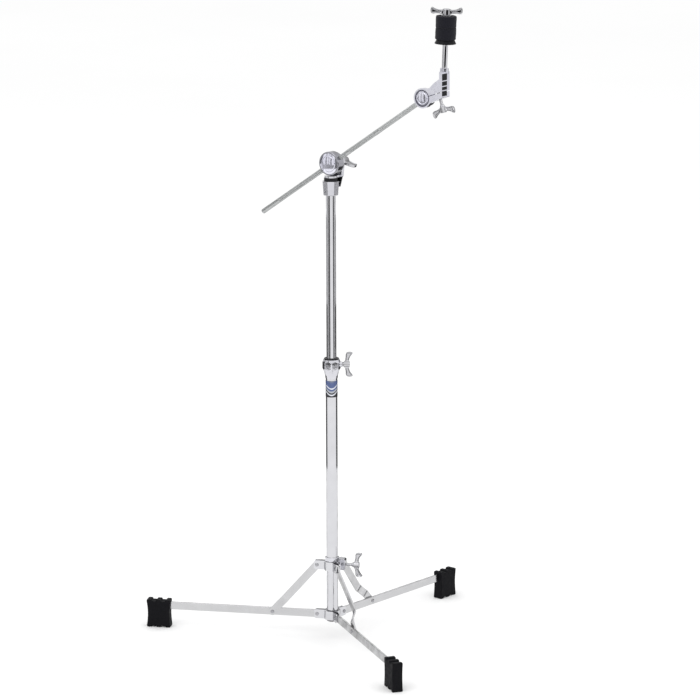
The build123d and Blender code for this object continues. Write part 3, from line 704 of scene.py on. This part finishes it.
leg_height = JOINTS["leg_1_fold"]["pos_m"][2] / MM
slider_height = JOINTS["brace_1_swing"]["pos_m"][2] / MM
brace_run, brace_rise = RIVET_PLACE_R - PIVOT_R, slider_height - leg_height
brace_length = math.hypot(brace_run, brace_rise)
lean = 180 - math.degrees(math.atan2(brace_rise, brace_run))
pivots = []
slider_pivots = []
for number in (1, 2, 3):
    pivot = joint_pos(f"leg_{number}_fold")
    azimuth = math.atan2(pivot.y, pivot.x)
    turn = radial(azimuth)
    piece(
        f"leg_{number}", [bar_leg(PIVOT_R, LEG_END_R, leg_height)], turn, f"leg_{number}",
        BAR_CHROME, [f"leg_{number}"], bevel=0.7,
    )
    low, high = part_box(f"foot_{number}")
    foot = foot_parts(low[2] / MM, high[2] / MM, FOOT_INNER_R, FOOT_OUTER_R)
    piece(
        f"foot_{number}", foot, turn, f"leg_{number}", RUBBER, [f"foot_{number}"],
        bevel=1.3, angle=50.0,
    )
    leg_half = shift(rivet_part(-LEG_HALF, LEG_HALF, (-1,)), RIVET_PLACE_R, 0, leg_height)
    piece(
        f"leg_rivet_{number}", [leg_half], turn, f"leg_{number}", RIVET_CHROME,
        [f"leg_rivet_{number}"],
    )
    low_face, high_face = BRACE_SIDE - BRACE_HALF, BRACE_SIDE + BRACE_HALF
    brace_half = shift(rivet_part(low_face, high_face, (1,)), RIVET_PLACE_R, 0, leg_height)
    piece(
        f"brace_rivet_{number}", [brace_half], turn, f"brace_{number}", RIVET_CHROME,
        [f"brace_rivet_{number}"],
    )
    strip = shift(spin(brace_part(brace_length), -lean, "Y"), RIVET_PLACE_R, 0, leg_height)
    piece(
        f"brace_{number}", [strip], turn, f"brace_{number}", BAR_CHROME, [f"brace_{number}"],
        bevel=0.5,
    )
    at_pivot = turn @ Matrix.Translation((PIVOT_R, 0, leg_height))
    pin = moved(rivet_part(-PIVOT_HALF, PIVOT_HALF, (-1, 1)), at_pivot)
    pivots.append(pin)
    slider_pivots.append(moved(pin, Matrix.Translation((0, 0, slider_height - leg_height))))
piece("leg_pivot_rivets", pivots, COLUMN, "column", RIVET_CHROME, ["leg_pivot_rivets"])
piece("brace_pivot_rivets", slider_pivots, COLUMN, "slider", RIVET_CHROME, ["brace_pivot_rivets"])


# ---------------------------------------------------------------- column
low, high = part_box("badge")
badge_r = -low[1] / MM
BADGE_WALL = 0.38
BADGE_START, BADGE_SWEEP, BADGE_STEPS = -185, 190, 60
shell = []
for radius in (badge_r, badge_r - BADGE_WALL):
    shell.append(arc(0, 0, radius, BADGE_START, BADGE_START + BADGE_SWEEP, BADGE_STEPS))
outline = shell[0] + list(reversed(shell[1]))
piece(
    "badge", [prism(outline, low[2] / MM, high[2] / MM)], COLUMN, "column",
    badge_material(low[2], high[2], badge_r * MM), ["badge"],
)


# ---------------------------------------------------------------- boom
WASHER_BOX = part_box("swivel_washer")
piece(
    "swivel_washer", [ring(12.8, 6.1, WASHER_BOX[0][2] / MM, WASHER_BOX[1][2] / MM, 1.0)], COLUMN,
    "boom_swivel", NYLON, ["swivel_washer"],
)
clamp_washer = ring(9.0, 4.1, BOOM_NUT_W + 0.2, BOOM_NUT_W + 1.9, 0.35)
piece("clamp_washer", [clamp_washer], HEAD, "boom_clamp", STEEL, ["clamp_washer"])


def dome(radius, rim, top, groove_r, rows=80):
    """A domed disc, from its rim height to its top, with a round groove turned into it."""
    rise = top - rim
    ball = (radius ** 2 + rise ** 2) / (2 * rise)
    points = [(0, rim - 1.4), (radius - 0.3, rim - 1.4), (radius, rim - 1.1), (radius, rim - 0.1)]
    for i in range(rows + 1):
        r = radius * (1 - i / rows)
        z = top - ball + math.sqrt(ball ** 2 - r ** 2)
        z -= 0.55 * math.exp(-((r - groove_r) / 0.45) ** 2)
        points.append((max(r, 0.0), z))
    return lathe(points, 128)


piece(
    "clamp_emblem", [dome(19.6, 7.0, 9.8, 15.0)], HEAD, "boom_clamp", DISC, ["clamp_emblem"],
)
piece("drum_emblem", [dome(13.1, 7.3, 8.2, 10.6)], TILTER, "boom_arm", DISC, ["drum_emblem"])


def knurled_arm(low, high, radius, smooth_bands):
    """The boom arm: a diamond knurl cut into the mesh, left off in the smooth bands."""
    around, half_pitch, depth = 38, 0.8, 0.32
    rows = round((high - low) / half_pitch)
    verts, faces = [(0, 0, low)], []
    for i in range(rows + 1):
        z = low + (high - low) * i / rows
        smooth = any(a <= z <= b for a, b in smooth_bands) or i in (0, rows)
        for j in range(around):
            r = radius if smooth or (i + j) % 2 == 0 else radius - depth
            a = 2 * math.pi * j / around
            verts.append((r * math.cos(a), r * math.sin(a), z))
    for i in range(rows):
        for j in range(around):
            k = (j + 1) % around
            below, above = 1 + i * around, 1 + (i + 1) * around
            a, b, c, d = below + j, below + k, above + k, above + j
            if (i + j) % 2 == 0:
                faces += [(a, b, d), (b, c, d)]
            else:
                faces += [(a, b, c), (a, c, d)]
    verts.append((0, 0, high))
    last = 1 + rows * around
    for j in range(around):
        k = (j + 1) % around
        faces.append((0, 1 + k, 1 + j))
        faces.append((last + j, last + k, len(verts) - 1))
    return verts, faces


ARM_R = 4.75
ARM_LOW, ARM_HIGH = -196.5, 249.3
CAP_LENGTH = 1.5
BANDS = [(ARM_LOW, -150.0), (38.0, 50.0), (118.0, 131.0), (236.0, ARM_HIGH)]
piece(
    "boom_arm", [knurled_arm(ARM_LOW, ARM_HIGH, ARM_R, BANDS)], ARM, "boom_arm", KNURL,
    ["boom_arm"], angle=12.0,
)
cap = rod(ARM_R, ARM_LOW - CAP_LENGTH, ARM_LOW, 0.5)
piece("arm_end_cap", [cap], ARM, "boom_arm", CHROME, ["arm_end_cap"])


# ---------------------------------------------------------------- cymbal fittings
SEAT_T = 101.5                              # the seat's foot, measured up the rod
FELT_T = 109.3                              # and the lower felt's
FELT_R, FELT_HEIGHT = 19.2, 21.5
WASHER_BORE = 4.1
THREAD_PITCH = 1.25
piece(
    "cymbal_rod", [rod(5.0, 22.0, SEAT_T, 0.5), thread(4.0, SEAT_T - 0.5, 163.0, THREAD_PITCH, 0.5)], ROD,
    "tilter", CHROME, ["cymbal_rod"],
)
seat = [
    (WASHER_BORE, SEAT_T), (19.7, SEAT_T), (19.7, SEAT_T + 1.2), (19.3, SEAT_T + 1.4), (16.3, FELT_T),
    (WASHER_BORE, FELT_T),
]
piece(
    "cymbal_seat", [lathe(soften(seat, 0.4), 96, closed=True)], ROD, "tilter", BLACK,
    ["cymbal_seat"],
)


def felt_part(low, high, seed):
    """A felt washer with a soft, uneven skin."""
    corners = [(6.3, low), (FELT_R - 0.1, low), (FELT_R - 0.1, high), (6.3, high)]
    rough = soften(corners, 2.0, steps=6)
    profile = []
    for a, b in zip(rough, rough[1:] + rough[:1]):
        steps = max(1, round(math.hypot(b[0] - a[0], b[1] - a[1]) / 0.7))
        profile += [tuple(p + (q - p) * i / steps for p, q in zip(a, b)) for i in range(steps)]
    verts, faces = lathe(profile, 180, closed=True)
    fuzzy = []
    for v in verts:
        p = Vector(v)
        wide = noise.noise(p * 0.12 + Vector((seed, 0, 0)))
        fine = noise.noise(p * 1.1 + Vector((0, seed, 0)))
        outward = Vector((p.x, p.y, 0)).normalized()
        amount = (0.30 * wide + 0.12 * fine) if p.xy.length > 8.0 else 0.0
        fuzzy.append(tuple(p + outward * (amount - 0.15)))
    return fuzzy, faces


piece(
    "lower_felt", [felt_part(FELT_T + 0.1, FELT_T + FELT_HEIGHT + 0.1, 3.0)], ROD, "tilter",
    FELT, ["lower_felt"], angle=180.0,
)
piece(
    "upper_felt", [felt_part(FELT_T + FELT_HEIGHT + 0.2, FELT_T + 2 * FELT_HEIGHT + 0.2, 11.0)], ROD,
    "upper_felt", FELT, ["upper_felt"], angle=180.0,
)
top_washer = ring(9.5, WASHER_BORE, NUT_T - 1.4, NUT_T - 0.2, 0.3)
piece("top_washer", [top_washer], ROD, "upper_felt", STEEL, ["top_washer"])


# ---------------------------------------------------------------- studio
def stage_mesh(name, verts, faces, material):
    mesh = bpy.data.meshes.new(name)
    mesh.from_pydata(verts, [], faces)
    obj = bpy.data.objects.new(name, mesh)
    bpy.context.scene.collection.objects.link(obj)
    mesh.materials.append(material)
    return obj


floor_look = Nodes("floor")
floor_look.set(metallic=0.0, specular=0.0)
floor_look.link(
    floor_look.ramp(floor_look.noise(0.4), [(0.3, (0.90, 0.90, 0.90)), (0.7, (0.92, 0.92, 0.92))]),
    floor_look.shader.inputs["Base Color"],
)
floor_look.link(floor_look.spread(floor_look.noise(2.0), 0.85, 0.95), floor_look.shader.inputs["Roughness"])
HALF_FLOOR = 40.0
CORNERS = [(-1, -1), (1, -1), (1, 1), (-1, 1)]
floor_corners = [(x * HALF_FLOOR, y * HALF_FLOOR, 0) for x, y in CORNERS]
stage_mesh("floor", floor_corners, [(0, 1, 2, 3)], floor_look.material)


def flag(name, start, end, distance, low, high, tone):
    """A curved grey studio panel that only the chrome sees. Azimuths run from the front towards +X."""
    m = Nodes(name)
    m.set(metallic=0.0, roughness=1.0, specular=0.0)
    m.shader.inputs["Base Color"].default_value = (tone, tone, tone, 1.0)
    steps = 12
    verts, faces = [], []
    for i in range(steps + 1):
        a = math.radians(start + (end - start) * i / steps)
        x, y = math.sin(a) * distance, -math.cos(a) * distance
        verts += [(x, y, low), (x, y, high)]
    for i in range(steps):
        faces.append((2 * i, 2 * i + 2, 2 * i + 3, 2 * i + 1))
    obj = stage_mesh(name, verts, faces, m.material)
    obj.visible_camera = False
    obj.visible_diffuse = False
    obj.visible_shadow = False


FAR, MIDDLE, NEAR = 2.35, 1.9, 1.3          # how far the panels stand from the column
NEAR_TIER, LOW_TIER, HIGH_TIER = 0.39, 0.49, 1.7
PANELS = [                                  # start and end azimuth, distance, low and high edge, tone
    (-50, -22, FAR, 0.0, LOW_TIER, 0.10),
    (-76, -50, FAR, 0.0, LOW_TIER, 0.34),
    (-100, -76, FAR, 0.0, LOW_TIER, 0.45),
    (-150, -108, MIDDLE, 0.0, LOW_TIER, 0.40),
    (44, 76, FAR, 0.0, LOW_TIER, 0.10),
    (80, 104, FAR, 0.0, LOW_TIER, 0.45),
    (112, 150, MIDDLE, 0.0, LOW_TIER, 0.30),
    (-165, -98, NEAR, 0.0, NEAR_TIER, 0.10),
    (96, 165, NEAR, 0.0, NEAR_TIER, 0.08),
    (-12, 54, FAR, 0.68, 1.20, 0.01),       # the dark line up the cymbal rod
    (-61.5, -57, FAR, LOW_TIER, HIGH_TIER, 0.12),
    (-69.2, -67, FAR, LOW_TIER, HIGH_TIER, 0.20),
    (-80, -75.5, FAR, LOW_TIER, HIGH_TIER, 0.20),
    (-112, -92, FAR, LOW_TIER, HIGH_TIER, 0.12),
    (-46, -36, FAR, LOW_TIER, HIGH_TIER, 0.15),
    (128, 160, FAR, LOW_TIER, HIGH_TIER, 0.08),
]
for index, (start, end, distance, low, high, tone) in enumerate(PANELS):
    flag(f"panel_{index + 1}", start, end, distance, low, high, tone)


def softbox(name, location, target, size, power):
    light = bpy.data.lights.new(name, "AREA")
    light.shape = "RECTANGLE"
    light.size, light.size_y = size
    light.energy = power
    obj = bpy.data.objects.new(name, light)
    bpy.context.scene.collection.objects.link(obj)
    obj.location = location
    obj.rotation_euler = (Vector(target) - Vector(location)).to_track_quat("-Z", "Y").to_euler()
    obj.visible_camera = False


softbox("key", (-2.6, -3.0, 4.2), (0, 0, 0.6), (2.4, 2.4), 30.0)
softbox("fill", (3.4, -2.2, 3.0), (0, 0, 0.7), (2.0, 2.0), 12.0)
softbox("top", (0.0, 0.5, 5.0), (0, 0, 0), (4.0, 4.0), 25.0)

world = bpy.data.worlds.new("studio")
bpy.context.scene.world = world
world.use_nodes = True
background = world.node_tree.nodes["Background"]
background.inputs["Color"].default_value = (1.0, 1.0, 1.0, 1.0)
background.inputs["Strength"].default_value = 1.08

# ---------------------------------------------------------------- camera
CAMERA_AT = Vector((0.0, -5.990, 1.892))
PITCH, YAW, ROLL = -12.471, 0.338, -0.152
camera = bpy.data.cameras.new("camera")
camera.lens = 165.67
camera.sensor_width = 36.0
camera.clip_end = 200.0
view = bpy.data.objects.new("camera", camera)
bpy.context.scene.collection.objects.link(view)
view.matrix_world = (
    Matrix.Translation(CAMERA_AT)
    @ Matrix.Rotation(math.radians(-YAW), 4, "Z")
    @ Matrix.Rotation(math.radians(90 + PITCH), 4, "X")
    @ Matrix.Rotation(math.radians(ROLL), 4, "Z")
)
bpy.context.scene.camera = view
bpy.context.scene.view_settings.view_transform = "Standard"
